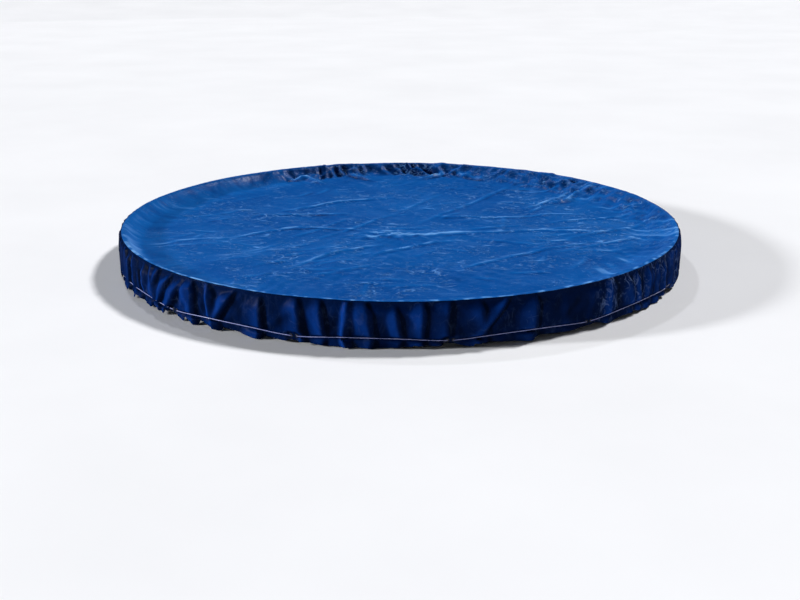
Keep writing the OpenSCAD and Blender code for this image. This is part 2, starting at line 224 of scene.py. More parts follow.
def rimWave(angle):  # small rise and fall of the cloth where it turns over the rail
    v = angle - viewTurn
    level = angle * 0
    clusters = np.clip(0.2 + 1.2 * roundNoise(angle, level, 0.45, 8), 0, 1)
    far = crumpledSide(v) * smooth(0.2 - 1.3 * np.cos(v + 0.1)) * clusters
    tucks = 0.0095 * far * np.clip(roundNoise(angle, level, 0.05, 9) + 0.3, 0, 1)
    small = 0.0016 * np.abs(roundNoise(angle, level, 0.045, 3))
    return tucks + small + 0.0012 * roundNoise(angle, level, 0.3, 4)


def middlePatch(x, y):  # the crumpled patch beside the middle, made lighter with painted sheen
    c, s = math.cos(viewTurn), math.sin(viewTurn)
    across, deep = x * c + y * s, y * c - x * s
    return np.exp(-(((across - 0.02) / 0.30) ** 2) - ((deep + 0.24) / 0.13) ** 2)


def topShape(x, y):
    r = np.hypot(x, y)
    a = np.arctan2(x, -y)
    v = a - viewTurn
    width = topSheet["slopeFront"] + topSheet["slopeRight"] * smooth(np.sin(v) + 0.1)
    width = width + topSheet["slopeBack"] * smooth(-np.cos(v)) + 0.02 * np.sin(3 * v + 1)
    ragged = 0.016 * roundNoise(a, r, 0.12, 5) + 0.02 * roundNoise(a, r * 0, 0.35, 6)
    inward = seatInnerR + 0.4 * ragged - r
    t = np.clip(inward / (width + ragged), 0, 1)
    z = rimZ - (rimZ - waterZ) * (1 - (1 - t) ** 1.7)
    onWater = smooth(inward / (width * 0.6) - 0.9)
    offRail = smooth((topSheet["edge"] - 0.012 - r) / 0.03)
    onSlope = offRail * (1 - onWater)
    # gathers run in from the rail and fade towards the water
    reach = offRail * np.exp(-np.clip(seatInnerR - r, 0, 9) / 0.16)
    z += reach * 0.0022 * np.abs(roundNoise(a + 0.25 * (1.7 - r), r * 0.3, 0.04, 21))
    z += reach * 0.0035 * roundNoise(a - 0.2 * (1.7 - r), r * 0.5, 0.11, 22)
    rough = 0.08 + 0.92 * crumpledSide(v)
    rough = rough * (1 - 0.55 * smooth(np.sin(v) - 0.1))
    steep = 0.11 + 0.06 * smooth(-np.cos(v) - 0.35)
    z += onSlope * rough * steep * facets(x, y, 31, creaseSizes["slope"], 0.05)
    calm = offRail * (0.35 + 0.65 * onWater)
    z += calm * 0.0060 * facets(x, y, 41, creaseSizes["water"], 0.07)
    patches = np.clip(0.3 + softNoise(x, y, 0.5, 71), 0, 1)
    z += calm * patches * 0.018 * facets(x, y, 61, creaseSizes["patches"], 0.03)
    z += middlePatch(x, y) * 0.055 * facets(x, y, 81, creaseSizes["middle"], 0.03)
    height, paintedStrip = pullShape(x, y)
    z += smooth((1.70 - r) / 0.1) * height
    # the tallest folds are flattened off, because the cloth is drawn tight over the rail
    over = np.clip(z - topSheet["foldTop"], 0, 1)
    z += topSheet["foldRoom"] * np.tanh(over / topSheet["foldRoom"]) - over
    z += (1 - offRail) * rimWave(a)
    return z, paintedStrip


def topRings():
    rings, edge = topSheet["rings"], topSheet["edge"]
    flat = [(0.0, 0.0)]
    for ring in range(1, rings + 1):
        turns = [2 * math.pi * i / (6 * ring) for i in range(6 * ring)]
        flat += [(edge * ring / rings * math.sin(t), -edge * ring / rings * math.cos(t)) for t in turns]

    def at(ring, i):
        return 0 if ring == 0 else 1 + 3 * ring * (ring - 1) + i % (6 * ring)

    faces = []
    for ring in range(1, rings + 1):
        for side in range(6):
            for i in range(ring):
                inner = at(ring - 1, side * (ring - 1) + i)
                faces.append((at(ring, side * ring + i), at(ring, side * ring + i + 1), inner))
                if i < ring - 1:
                    following = at(ring - 1, side * (ring - 1) + i + 1)
                    faces.append((at(ring, side * ring + i + 1), following, inner))
    return np.array(flat), faces


def makeMesh(name, points, faces):
    mesh = bpy.data.meshes.new(name)
    mesh.from_pydata(np.asarray(points).tolist(), [], faces)
    mesh.update()
    return mesh


def place(mesh, material):
    piece = bpy.data.objects.new(mesh.name, mesh)
    bpy.context.scene.collection.objects.link(piece)
    mesh.materials.clear()
    mesh.materials.append(material)
    return piece


def bake(piece, sharpAngle=None):  # modifiers become the mesh
    result = bpy.data.meshes.new_from_object(
        piece.evaluated_get(bpy.context.evaluated_depsgraph_get()), preserve_all_data_layers=True,
        depsgraph=bpy.context.evaluated_depsgraph_get())
    name, material = piece.name, piece.data.materials[0] if piece.data.materials else None
    old = piece.data
    bpy.data.objects.remove(piece)
    (bpy.data.meshes if isinstance(old, bpy.types.Mesh) else bpy.data.curves).remove(old)
    result.name = name
    final = bpy.data.objects.new(name, result)
    bpy.context.scene.collection.objects.link(final)
    if material and not result.materials:
        result.materials.append(material)
    result.shade_smooth()
    if sharpAngle:
        result.set_sharp_from_angle(angle=sharpAngle)
    return final


def thicken(piece, thickness):
    wall = piece.modifiers.new("wall", "SOLIDIFY")
    wall.thickness = thickness
    wall.offset = -1
    wall.use_even_offset = False
    return bake(piece, math.radians(75))


skirt = {
    "columns": 1416,
    "fold": 0.006,  # radius of the turn over the rail
    "flareZ": -0.09,
    "lowest": -0.2415,
    "longCorners": (-1.75, -0.35),  # the left of the front, where the hem's corners are longest
    "holeHalf": 0.0053,  # half the side of the square opening behind each eyelet
    "seed": 12,
    "thickness": 0.0008,
}
cable = {
    "radius": 0.002,
    "z": -0.186,
    "dip": 0.016,
    "dipAngle": math.radians(6),
    "outside": 1.775,  # radius of the run outside the hem and of the one behind it
    "inside": 1.765,
    "stations": 14,
    "pairGap": 0.030,
    "clear": math.radians(1.2),
    "spanSteps": 24,
}
stationStep = 2 * math.pi / cable["stations"]
station0 = math.pi + stationStep / 2
eyeletTurns = [
    (station0 + k * stationStep + side * cable["pairGap"] / 2 / hemR + math.pi) % (2 * math.pi) - math.pi
    for k in range(cable["stations"]) for side in (-1, 1)
]


def offStation(angle):
    n = (angle - station0) / stationStep
    return np.abs(n - np.round(n)) * stationStep


def cableDip(angle):
    return cable["z"] - cable["dip"] * np.exp(-((offStation(angle) / cable["dipAngle"]) ** 2))


def drawPleats():
    draw = np.random.RandomState(skirt["seed"])
    made = []
    turn = -math.pi
    while turn < math.pi:
        v = turn - viewTurn
        plain = math.radians(23) < v < math.radians(37)
        dense = v < math.radians(-38) or v > math.radians(44)
        made.append({
            "turn": turn,
            "left": draw.uniform(0.045, 0.120),
            "right": draw.uniform(0.012, 0.036),
            "flip": draw.uniform() < 0.4,
            "height": draw.uniform(0.016, 0.032) * (0.25 if plain else 1),
            "apex": draw.uniform(-0.01, 0.04),
            "lean": draw.uniform(-0.22, 0.22) * (4 if draw.uniform() < 0.3 else 1),
            "hemLean": draw.uniform(-0.35, 0.35),
            "hem": draw.uniform(0.5, 1.1),
        })
        turn += draw.uniform(0.040, 0.125) * (0.62 if dense else 1)
    return made


pleatList = drawPleats()


def pleatOut(angle, z):  # how far the pleats stand out
    out = np.zeros_like(angle)
    for p in pleatList:
        away = (angle - p["turn"] + math.pi) % (2 * math.pi) - math.pi
        lean = p["lean"] * (-z) + (p["hemLean"] - p["lean"]) * np.clip(cable["z"] - z, 0, 1)
        u = away * hemR + lean
        grow = smooth((p["apex"] - z) / 0.09) ** 0.7
        wide = 0.25 + 0.75 * grow
        left, right = (p["right"], p["left"]) if p["flip"] else (p["left"], p["right"])
        side = np.where(u < 0, left, right) * wide
        ridge = np.clip(1 - np.abs(u) / side, 0, 1) ** 0.85
        below = np.where(z < cable["z"], p["hem"], 1)
        out = np.maximum(out, p["height"] * grow * ridge * below)
    return out


def hasLongCorners(turn):
    start, end = skirt["longCorners"]
    return start < turn - viewTurn < end


def drawFlaps():  # where the hem's corners hang, each flap falling from one to the next
    draw = np.random.RandomState(skirt["seed"] + 1)
    turns = [-math.pi]
    while turns[-1] < math.pi - 0.2:
        step = draw.uniform(0.06, 0.15) if hasLongCorners(turns[-1]) else draw.uniform(0.08, 0.24)
        turns.append(turns[-1] + step)
    return turns[:-1] + [math.pi]


flapTurns = drawFlaps()


def hemEdge(angle):  # height of the skirt's lower edge
    v = angle - viewTurn
    edge = -0.2280 - 0.004 * np.cos(v) - 0.007 * roundNoise(angle, angle * 0, 0.22, 91)
    edge = edge + 0.014 * np.exp(-((offStation(angle) / 0.05) ** 2)) + 0.006 * smooth(0.6 - np.abs(v + 0.4))
    step = np.zeros_like(angle)
    for k, (turn, following) in enumerate(zip(flapTurns, flapTurns[1:])):
        share = (angle - turn) / (following - turn)
        long = -0.034 * (0.75 + 0.25 * math.sin(k * 7.1))
        fall = long if hasLongCorners(turn) else 0.017 * math.sin(k * 12.9898)
        inFlap = (share >= 0) & (share < 1)
        hang = fall * (smooth(share / 0.93) - 0.5)
        step = np.where(inFlap, hang * (1 - smooth((share - 0.93) / 0.07)), step)
    highest = -0.2095 - 0.005 * np.exp(-((offStation(angle) / 0.04) ** 2))
    return np.clip(edge + step, skirt["lowest"], highest)


def skirtPoint(angle, z):  # radius of the skirt's outer face
    flare = smooth((-z - 0.004) / (-skirt["flareZ"] - 0.004))
    r = rimR - 0.0005 + (hemR - rimR) * flare
    v = (angle - viewTurn + math.pi) % (2 * math.pi) - math.pi
    around = hemR * angle
    pressed = np.exp(-(((z - cableDip(angle)) / 0.011) ** 2))
    low = smooth((-z - 0.005) / 0.05)
    crinkled = 0.45 + 0.9 * smooth((v - 0.6) / 0.25) * smooth((math.pi * 0.6 - v) / 0.3) \
        + 0.3 * smooth((-v - 0.5) / 0.3)
    eyelet = np.full_like(angle, 9.0)
    for turn in eyeletTurns:
        away = ((angle - turn + math.pi) % (2 * math.pi) - math.pi) * hemR
        eyelet = np.minimum(eyelet, np.hypot(away, z - eyeletZ))
    flat = smooth((eyelet - 0.012) / 0.022)
    atWinch = smooth((np.abs((angle % (2 * math.pi)) - math.pi) * hemR - 0.066) / 0.05)
    soft = 0.009 * np.clip(roundNoise(angle + 0.5 * z, z * 0.4, 0.12, 51), -0.4, 1)
    soft += 0.0035 * roundNoise(angle - 0.6 * z, z * 0.5, 0.06, 52)
    crease = 0.045 * facets(around + 0.3 * z, z, 55, creaseSizes["skirt"], 0.02)
    out = pleatOut(angle, z) + low * (soft + 0.004) + low * crinkled * 0.6 * crease * atWinch
    out = out * (1 - pressed) * flat * atWinch
    reach = 0.030 - 0.020 * smooth((np.abs(np.sin(v)) - 0.80) / 0.15)  # drawn in close at the sides
    return r + np.clip(out, -0.004, reach)


def skirtColumns():
    turns = np.arange(skirt["columns"]) * 2 * math.pi / skirt["columns"]
    shifted = turns.copy()
    holes = []
    half = skirt["holeHalf"] / hemR
    for turn in eyeletTurns:
        t = turn % (2 * math.pi)
        column = int(math.floor(t / (2 * math.pi) * skirt["columns"]))
        shifted[column] = t - half
        shifted[(column + 1) % skirt["columns"]] = t + half
        holes.append(column)
    return turns, shifted, holes


def skirtPaintedLight(points):  # painted light and shade: lightest on what stands out and what is turned to the left, towards the raking light, darkest in the valleys
    count = skirt["columns"]
    grid = np.asarray(points).reshape(-1, count, 3)
    r = np.hypot(grid[..., 0], grid[..., 1])
    base = np.array([np.sort(row)[count // 8] for row in r])[:, None]
    slope = (np.roll(r, -2, axis=1) - np.roll(r, 2, axis=1)) / (4 * 2 * math.pi * hemR / count)
    return (0.3 * smooth((r - base) / 0.020) + 0.7 * np.clip(0.42 + 1.1 * slope, 0, 1)).ravel()


# where the skirt's crease lines carry painted glints: most on the silvery crinkles on the right
def skirtPaintedGlints(points):
    v = np.arctan2(points[:, 0], -points[:, 1]) - viewTurn
    return 0.12 + 0.88 * smooth((v - 0.58) / 0.12) * smooth((1.35 - v) / 0.15)


# where the top's crease lines carry painted glints: fewer on the smooth left band
def topPaintedGlints(points):
    r = np.hypot(points[:, 0], points[:, 1])
    v = np.arctan2(points[:, 0], -points[:, 1]) - viewTurn
    left = smooth((r - 1.45) / 0.15) * (1 - crumpledSide(v))
    return 1.0 - 0.7 * left


def topPaintedLight(mesh, paintedStrip):  # painted light and shade: lighter where it is turned to the back and the right, darker towards the front, as the light from behind falls, with some tone at random
    normals = np.array([v.normal[:] for v in mesh.vertices])
    points = np.array([v.co[:] for v in mesh.vertices])
    x, y = points[:, 0], points[:, 1]
    r, a = np.hypot(x, y), np.arctan2(x, -y)
    # painted light on the left band, set against the shadow that the rim casts there
    left = smooth((r - 1.42) / 0.12) * smooth((-np.sin(a - viewTurn) - 0.3) / 0.3)
    paintedLightAndTone = 0.40 + 0.08 * softNoise(x, y, 0.6, 88) + 0.05 * softNoise(x, y, 0.17, 89)
    # painted light and shade from how each spot is turned, stronger on the middle patch, which also gets
    # painted sheen
    middle = middlePatch(x, y)
    paintedLightAndTone += 0.18 * normals[:, 0] + (0.50 + 0.35 * middle) * normals[:, 1] + 0.14 * middle
    paintedLightAndTone += left * (0.11 + 0.12 * roundNoise(a, r * 0.25, 0.035, 90))
    # painted highlights: light streaks running in on the right
    right = smooth((r - 1.40) / 0.12) * smooth((np.sin(a - viewTurn) - 0.5) / 0.3)
    paintedLightAndTone += right * 0.55 * np.clip(roundNoise(a - 0.5 * (1.7 - r), r * 0.2, 0.05, 93) - 0.25, 0, 1)
    frontFoldHighlight = smooth(np.cos(a - viewTurn) + 0.2) * smooth((r - 1.734) / 0.008)  # painted highlight along the fold over the rail
    paintedLightAndTone += frontFoldHighlight * 0.6 * np.clip(0.25 + roundNoise(a, r, 0.03, 95), 0, 1)
    # the pulls add painted highlights on their crests and painted shade beside them
    return np.clip(paintedLightAndTone + 0.5 * paintedStrip, 0, 1)


def mark(piece, name, values):
    layer = piece.data.attributes.new(name, "FLOAT", "POINT")
    layer.data.foreach_set("value", np.asarray(values, dtype=float))


def makeSkirt():
    turns, shifted, holes = skirtColumns()
    count = skirt["columns"]
    holeTop, holeLow = eyeletZ + skirt["holeHalf"], eyeletZ - skirt["holeHalf"]
    levels = [-0.006, -0.010, -0.016, -0.023] + [-0.023 - 0.0087 * i for i in range(1, 17)]
    levels += [-0.169, -0.1755, -0.181, -0.186, -0.191, holeTop, holeLow]
    edge = hemEdge((turns + math.pi) % (2 * math.pi) - math.pi)
    rows = []
    first = np.column_stack([topSheet["edge"] * np.sin(turns), -topSheet["edge"] * np.cos(turns)])
    wave = rimWave(turns)
    odd = np.arange(count) % 2 == 1
    first[odd] = (np.roll(first, 1, axis=0)[odd] + np.roll(first, -1, axis=0)[odd]) / 2
    firstZ = rimZ + wave
    firstZ[odd] = (np.roll(firstZ, 1)[odd] + np.roll(firstZ, -1)[odd]) / 2
    rows.append(np.column_stack([first, firstZ]))
    for bend in (30, 60):
        rad = math.radians(bend)
        r = topSheet["edge"] + skirt["fold"] * math.sin(rad)
        z = rimZ + wave * math.cos(rad) - skirt["fold"] * (1 - math.cos(rad))
        rows.append(np.column_stack([r * np.sin(turns), -r * np.cos(turns), z]))
    for z in levels:
        mix = float(smooth(np.array((-z - 0.02) / 0.12)))
        turn = turns * (1 - mix) + shifted * mix
        signed = (turn + math.pi) % (2 * math.pi) - math.pi
        zs = np.full(count, z)
        r = skirtPoint(signed, zs)
        rows.append(np.column_stack([r * np.sin(turn), -r * np.cos(turn), zs]))
    signed = (shifted + math.pi) % (2 * math.pi) - math.pi
    for share in (0.35, 0.7, 1.0):
        zs = holeLow + (edge - holeLow) * share
        r = skirtPoint(signed, zs)
        rows.append(np.column_stack([r * np.sin(shifted), -r * np.cos(shifted), zs]))
    holeRow = 3 + levels.index(holeTop)
    faces = []
    for i in range(len(rows) - 1):
        for k in range(count):
            if i == holeRow and k in holes:
                continue
            a, b = i * count + k, i * count + (k + 1) % count
            faces.append((a, a + count, b + count, b))
    return np.concatenate(rows), faces, holeRow, rows


def makeHem(rows, holeRow):  # the turned-up layer behind the skirt, round the hem's rope
    _, _, holes = skirtColumns()
    count = skirt["columns"]
    used = [rows[i] for i in range(len(rows)) if rows[i][:, 2].max() < hemTopZ - 0.002]
    offset = len(rows) - len(used)
    gap = 0.0019
    layers = []
    for row in used:
        r = np.hypot(row[:, 0], row[:, 1])
        layers.append(np.column_stack([row[:, :2] * ((r - gap) / r)[:, None], row[:, 2] + 0.0004]))
    layers[-2][:, :2] *= 1 - 0.0012 / hemR
    last = layers[-1]
    last[:, :2] *= 1 - 0.0004 / hemR
    last[:, 2] -= 0.0006
    faces = []
    for i in range(len(layers) - 1):
        for k in range(count):
            if i + offset == holeRow and k in holes:
                continue
            a, b = i * count + k, i * count + (k + 1) % count
            faces.append((a, b, b + count, a + count))
    return np.concatenate(layers), faces


def cableRoute():
    middleY = (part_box("loop_thimble")[0].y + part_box("loop_thimble")[1].y) / 2
    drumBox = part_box("drum")
    drumX, drumZ = (drumBox[0].x + drumBox[1].x) / 2, (drumBox[0].z + drumBox[1].z) / 2
    anchorX = (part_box("loop_thimble")[0].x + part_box("loop_thimble")[1].x) / 2
    z0, legGap, loopR, pitch, windR = cable["z"], 0.0021, 0.0091, 0.0042, 0.0094
    lane = middleY - pitch

    def polar(r, a, z):
        return (r * math.sin(a), -r * math.cos(a), z)

    def tangent(x, y):
        return math.pi - math.atan(x / y) - math.acos(cable["outside"] / math.hypot(x, y))

    loop = [(-0.070, -legGap), (-0.052, -legGap), (-0.046, -0.0046), (-0.038, -0.0082)]
    for step in range(12):
        a = math.radians(250 + 20 * step)
        loop.append((anchorX + loopR * math.cos(a), loopR * math.sin(a)))
    loop += [(-0.038, 0.0082), (-0.046, 0.0046), (-0.052, legGap), (-0.072, legGap)]
    points = [(x, middleY, z0 + z) for x, z in loop]
    middle, half = (cable["outside"] + cable["inside"]) / 2, (cable["outside"] - cable["inside"]) / 2
    crossing = [(4.2, 1), (2.5, 0.88), (1.3, 0.55), (-1.3, -0.55), (-2.5, -0.88), (-4.2, -1)]
    through = [(-cable["pairGap"] / 2 - p / 1000, out) for p, out in crossing]
    through += [(cable["pairGap"] / 2 + p / 1000, out) for p, out in reversed(crossing)]
    first = 2 * math.pi - tangent(0.072, middleY)
    last = 2 * math.pi + tangent(0.048, lane)
    points.append(polar(cable["outside"], first, float(cableDip(np.array(first)))))
    for k in range(cable["stations"]):
        a = station0 + k * stationStep
        if k == 0:
            for i in (1, 2):
                t = first + (a - cable["clear"] - first) * i / 3
                points.append(polar(cable["outside"], t, float(cableDip(np.array(t)))))
        points += [polar(middle + half * out, a + along / middle, eyeletZ) for along, out in through]
        start = a + cable["clear"]
        end = a + stationStep - cable["clear"] if k < cable["stations"] - 1 else last
        steps = cable["spanSteps"] if k < cable["stations"] - 1 else 6
        for i in range(1, steps):
            t = start + (end - start) * i / steps
            points.append(polar(cable["outside"], t, float(cableDip(np.array(t)))))
    points.append(polar(cable["outside"], last, float(cableDip(np.array(last)))))
    points.append((0.048, lane, z0))
    for i in range(37):
        a = math.radians(90 + 20 * i)
        points.append((drumX + windR * math.cos(a), lane + pitch * i / 18, drumZ + windR * math.sin(a)))
    points.append((drumX - 0.016, lane + 2 * pitch, z0))
    return rounded(points, 2)


def rounded(points, times):  # cuts the corners of a line, which never takes it outside them
    p = np.array(points)
    for _ in range(times):
        cut = np.empty((2 * len(p) - 2, 3))
        cut[0::2] = p[:-1] * 0.75 + p[1:] * 0.25
        cut[1::2] = p[:-1] * 0.25 + p[1:] * 0.75
        p = np.concatenate([p[:1], cut, p[-1:]])
    return p


def lineCurve(name, points, cyclic=False):
    data = bpy.data.curves.new(name, "CURVE")
    data.dimensions = "3D"
    spline = data.splines.new("POLY")
    spline.points.add(len(points) - 1)
    spline.points.foreach_set("co", np.column_stack([points, np.ones(len(points))]).ravel())
    spline.use_cyclic_u = cyclic
    line = bpy.data.objects.new(name, data)
    bpy.context.scene.collection.objects.link(line)
    return line


def addNode(tree, kind, inputs=None, **settings):  # inputs are values, or sockets to link from
    made = tree.nodes.new(kind)
    for key, value in settings.items():
        setattr(made, key, value)
    for key, value in (inputs or {}).items():
        target = made.inputs[key]
        if isinstance(value, bpy.types.NodeSocket):
            tree.links.new(value, target)
        else:
            target.default_value = value
    return made


def geometryTree(name, sizes):
    tree = bpy.data.node_groups.new(name, "GeometryNodeTree")
    tree.interface.new_socket("Geometry", in_out="INPUT", socket_type="NodeSocketGeometry")
    tree.interface.new_socket("Geometry", in_out="OUTPUT", socket_type="NodeSocketGeometry")
    for key, value in sizes.items():
        kind = "NodeSocketInt" if isinstance(value, int) else "NodeSocketFloat"
        tree.interface.new_socket(key, in_out="INPUT", socket_type=kind).default_value = value
    return tree, tree.nodes.new("NodeGroupInput"), tree.nodes.new("NodeGroupOutput")


def useTree(piece, tree, sizes):
    modifier = piece.modifiers.new(tree.name, "NODES")
    modifier.node_group = tree
    for item in tree.interface.items_tree:
        if item.in_out == "INPUT" and item.name in sizes:
            modifier[item.identifier] = sizes[item.name]


def tubeTree(material):  # a round skin along a line
    tree, given, out = geometryTree("roundSkin", {"Diameter": 0.004, "Sides": 10})
    radius = addNode(tree, "ShaderNodeMath", {0: given.outputs["Diameter"], 1: 0.5}, operation="MULTIPLY")
    section = addNode(tree, "GeometryNodeCurvePrimitiveCircle",
                      {"Resolution": given.outputs["Sides"], "Radius": radius.outputs[0]})
    skin = addNode(tree, "GeometryNodeCurveToMesh",
                   {"Curve": given.outputs["Geometry"], "Profile Curve": section.outputs["Curve"],
                    "Fill Caps": True})
    smoothed = addNode(tree, "GeometryNodeSetShadeSmooth", {"Geometry": skin.outputs["Mesh"]})
    whole = addNode(tree, "GeometryNodeRealizeInstances", {"Geometry": smoothed.outputs["Geometry"]})
    finished = addNode(tree, "GeometryNodeSetMaterial",
                       {"Geometry": whole.outputs["Geometry"], "Material": material})
    tree.links.new(finished.outputs["Geometry"], out.inputs["Geometry"])
    return tree


def makeTube(name, points, diameter, sides, material, cyclic=False):
    line = lineCurve(name, points, cyclic)
    sizes = {"Diameter": diameter, "Sides": sides}
    useTree(line, tubeTree(material), sizes)
    return bake(line)


barrelWall = 0.00025  # half the thickness of the barrel's brass
eyeletSizes = {"Bore": 0.0100, "Flange": 0.0200, "Crown": 0.0013, "Depth": 0.0042, "Sides": 40}


def eyeletTree(material, parts):  # a pressed ring at each point: domed flange, barrel or flat washer
    tree, given, out = geometryTree("pressed" + parts[0], eyeletSizes)
    bore, flange = given.outputs["Bore"], given.outputs["Flange"]

    def maths(operation, a, b):
        return addNode(tree, "ShaderNodeMath", {0: a, 1: b}, operation=operation).outputs[0]

    middle = maths("MULTIPLY", maths("ADD", bore, flange), 0.25)
    width = maths("MULTIPLY", maths("SUBTRACT", flange, bore), 0.25)
    joined = addNode(tree, "GeometryNodeJoinGeometry")
    for part in parts:
        around = middle if part != "barrel" else maths("ADD", maths("MULTIPLY", bore, 0.5), barrelWall)
        path = addNode(tree, "GeometryNodeCurvePrimitiveCircle",
                       {"Resolution": given.outputs["Sides"], "Radius": around})
        tall = given.outputs["Depth"] if part == "barrel" else given.outputs["Crown"]
        half = maths("MULTIPLY", tall, 0.5)
        wide = width if part != "barrel" else barrelWall
        size = addNode(tree, "ShaderNodeCombineXYZ", {0: wide, 1: half, 2: 1.0})
        section = addNode(tree, "GeometryNodeCurvePrimitiveCircle", {"Resolution": 12, "Radius": 1.0})
        shaped = addNode(tree, "GeometryNodeTransform",
                         {"Geometry": section.outputs["Curve"], "Scale": size.outputs[0]})
        ring = addNode(tree, "GeometryNodeCurveToMesh",
                       {"Curve": path.outputs["Curve"], "Profile Curve": shaped.outputs["Geometry"]})
        shift = {"flange": 0.0004, "barrel": -0.0016, "washer": -0.0041}[part]
        moved = addNode(tree, "GeometryNodeTransform",
                        {"Geometry": ring.outputs["Mesh"], "Translation": (0, 0, shift)})
        tree.links.new(moved.outputs["Geometry"], joined.inputs[0])
    turn = addNode(tree, "GeometryNodeInputNamedAttribute", {"Name": "turn"}, data_type="FLOAT_VECTOR")
    copies = addNode(tree, "GeometryNodeInstanceOnPoints",
                     {"Points": given.outputs["Geometry"], "Instance": joined.outputs[0],
                      "Rotation": turn.outputs["Attribute"]})
    smoothed = addNode(tree, "GeometryNodeSetShadeSmooth", {"Geometry": copies.outputs[0]})
    whole = addNode(tree, "GeometryNodeRealizeInstances", {"Geometry": smoothed.outputs["Geometry"]})
    finished = addNode(tree, "GeometryNodeSetMaterial",
                       {"Geometry": whole.outputs["Geometry"], "Material": material})
    tree.links.new(finished.outputs["Geometry"], out.inputs["Geometry"])
    return tree


def makeEyelets(name, parts, material):
    places = [(hemR * math.sin(t), -hemR * math.cos(t), eyeletZ) for t in eyeletTurns]
    mesh = makeMesh(name, places, [])
    turn = mesh.attributes.new("turn", "FLOAT_VECTOR", "POINT")
    turn.data.foreach_set("vector", [v for t in eyeletTurns for v in (0, math.pi / 2, t - math.pi / 2)])
    points = place(mesh, material)
    useTree(points, eyeletTree(material, parts), eyeletSizes)
    return bake(points, math.radians(60))


def newMaterial(name):
    material = bpy.data.materials.new(name)
    material.use_nodes = True
    tree = material.node_tree
    tree.nodes.clear()
    shader = tree.nodes.new("ShaderNodeBsdfPrincipled")
    out = tree.nodes.new("ShaderNodeOutputMaterial")
    tree.links.new(shader.outputs[0], out.inputs[0])
    place3d = addNode(tree, "ShaderNodeTexCoord").outputs["Object"]
    return material, tree, shader, place3d


def ramp(tree, source, stops):
    made = addNode(tree, "ShaderNodeValToRGB", {0: source})
    elements = made.color_ramp.elements
    while len(elements) < len(stops):
        elements.new(0.5)
    for element, (position, colour) in zip(elements, stops):
        element.position = position
        element.color = hexRgb(colour) if isinstance(colour, str) else (colour, colour, colour, 1)
    return made.outputs[0]


def noise(tree, place3d, size, detail=4.0, rough=0.55, stretch=(1, 1, 1), warp=0.0):
    mapped = addNode(tree, "ShaderNodeMapping", {0: place3d, "Scale": stretch})
    return addNode(tree, "ShaderNodeTexNoise",
                   {"Vector": mapped.outputs[0], "Scale": 1 / size, "Detail": detail, "Roughness": rough,
                    "Distortion": warp}).outputs[0]


def bump(tree, height, distance, strength=1.0, under=None):
    inputs = {"Height": height, "Distance": distance, "Strength": strength}
    if under is not None:
        inputs["Normal"] = under
    return addNode(tree, "ShaderNodeBump", inputs).outputs[0]


def math2(tree, operation, a, b):
    return addNode(tree, "ShaderNodeMath", {0: a, 1: b}, operation=operation).outputs[0]


def mixed(tree, factor, a, b, how="MIX"):
    inputs = {"Factor": factor, 6: a, 7: b}
    return addNode(tree, "ShaderNodeMix", inputs, data_type="RGBA", blend_type=how).outputs[2]


def creaseLines(tree, place3d, size, width, turn, stretch, seed):  # short and fine, mostly one way
    turned = addNode(tree, "ShaderNodeMapping",
                     {0: place3d, "Rotation": (0, 0, math.radians(turn)), "Location": (seed, -seed, 0),
                      "Scale": stretch})
    field = addNode(tree, "ShaderNodeTexNoise",
                    {"Vector": turned.outputs[0], "Scale": 1 / size, "Detail": 1.5,
                     "Distortion": 0.9}).outputs[0]
    off = math2(tree, "ABSOLUTE", math2(tree, "SUBTRACT", field, 0.5), 0.0)
    line = ramp(tree, off, [(0.0, 1.0), (width, 0.0)])
    broken = ramp(tree, noise(tree, place3d, size * 0.9, 2.0), [(0.48, 0.0), (0.60, 1.0)])
    return math2(tree, "MULTIPLY", line, broken)


